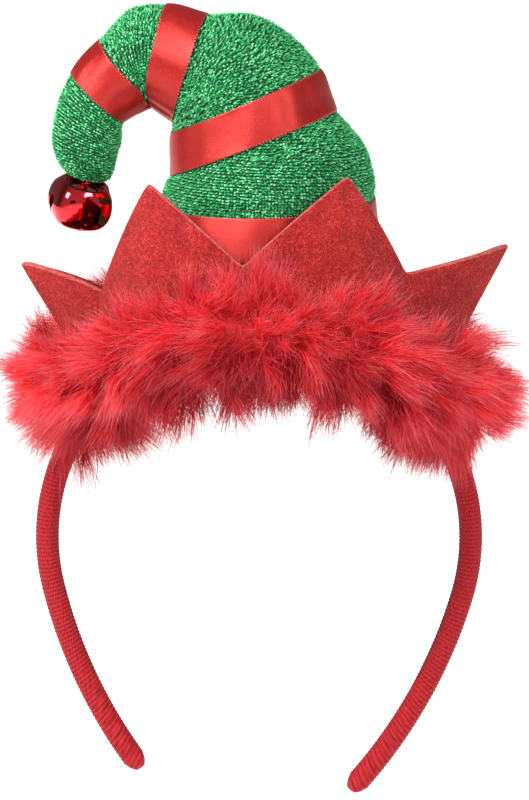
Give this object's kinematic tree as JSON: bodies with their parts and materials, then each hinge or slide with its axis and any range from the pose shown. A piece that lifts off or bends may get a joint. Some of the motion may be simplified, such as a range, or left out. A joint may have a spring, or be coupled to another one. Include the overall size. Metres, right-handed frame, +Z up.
{
  "type": "elf hat headband",
  "caption": "Costume headband with a curled plush elf hat, satin bands, a zigzag felt collar, feather trim and a jingle bell at the tip.",
  "frame": {"origin": "where the band's inner surface sits on the crown of the head", "axes": "+Z up as worn, -Y to the front, +X to the side away from the curled tip"},
  "size_m": [0.1611, 0.14, 0.2467],
  "materials": {
    "band_fabric": "red ribbed fabric cover",
    "red_felt": "matte red felt",
    "green_plush": "ribbed green plush",
    "red_satin": "red satin ribbon",
    "red_feather": "fluffy red feather",
    "red_metal": "mirror bright red lacquered metal",
    "steel": "plain steel"
  },
  "bodies": {
    "root": {"headband": "band_fabric", "base_pad": "red_felt", "hat_cone": "green_plush", "ribbon_base": "red_satin", "ribbon_lower": "red_satin", "ribbon_upper": "red_satin", "ribbon_tip": "red_satin", "felt_collar": "red_felt", "feather_trim": "red_feather", "jingle_bell": "red_metal", "bell_pellet": "steel"}
  },
  "joints": []
}
